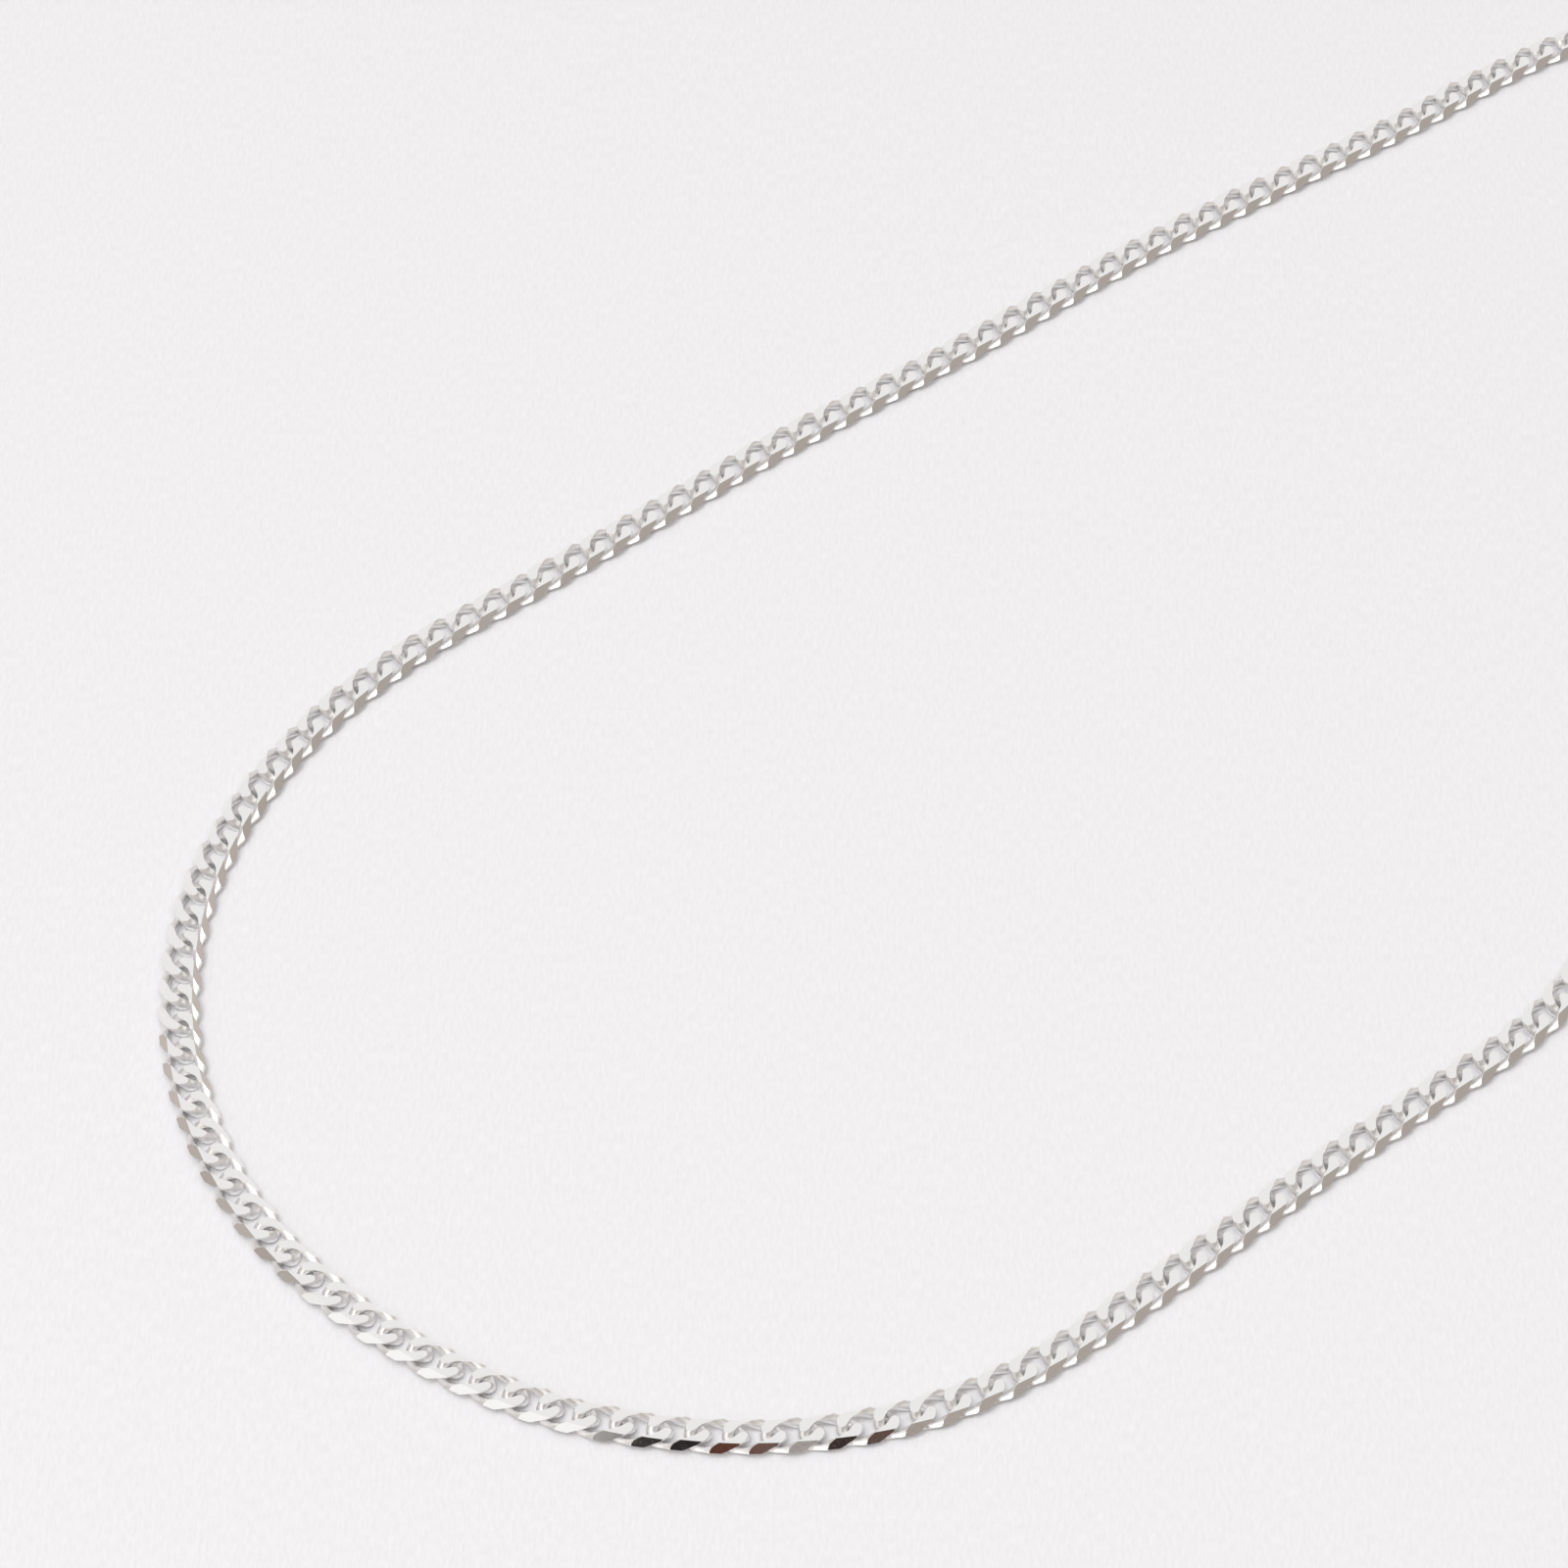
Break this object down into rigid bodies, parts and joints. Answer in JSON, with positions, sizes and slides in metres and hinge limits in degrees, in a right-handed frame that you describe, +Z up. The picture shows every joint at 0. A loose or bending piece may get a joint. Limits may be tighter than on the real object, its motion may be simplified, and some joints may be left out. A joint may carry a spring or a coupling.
{
  "type": "curb chain necklace",
  "caption": "Neck chain of twisted curb links with flat-cut faces, closed by a plain clasp on jump rings, lying in a narrow loop.",
  "frame": {"origin": "centre of the lying loop's outline, on the surface that it lies on", "axes": "+Z up from the surface, +Y along the loop from the round front to the narrow back with the clasp, +X across it"},
  "size_m": [0.0918, 0.1878, 0.0034],
  "materials": {
    "chain": "polished silver, diamond-cut faces",
    "fittings": "polished silver"
  },
  "bodies": {
    "root": {"chain_left": "chain", "chain_right": "chain", "clasp": "fittings", "jump_ring": "fittings", "end_ring": "fittings"}
  },
  "joints": []
}
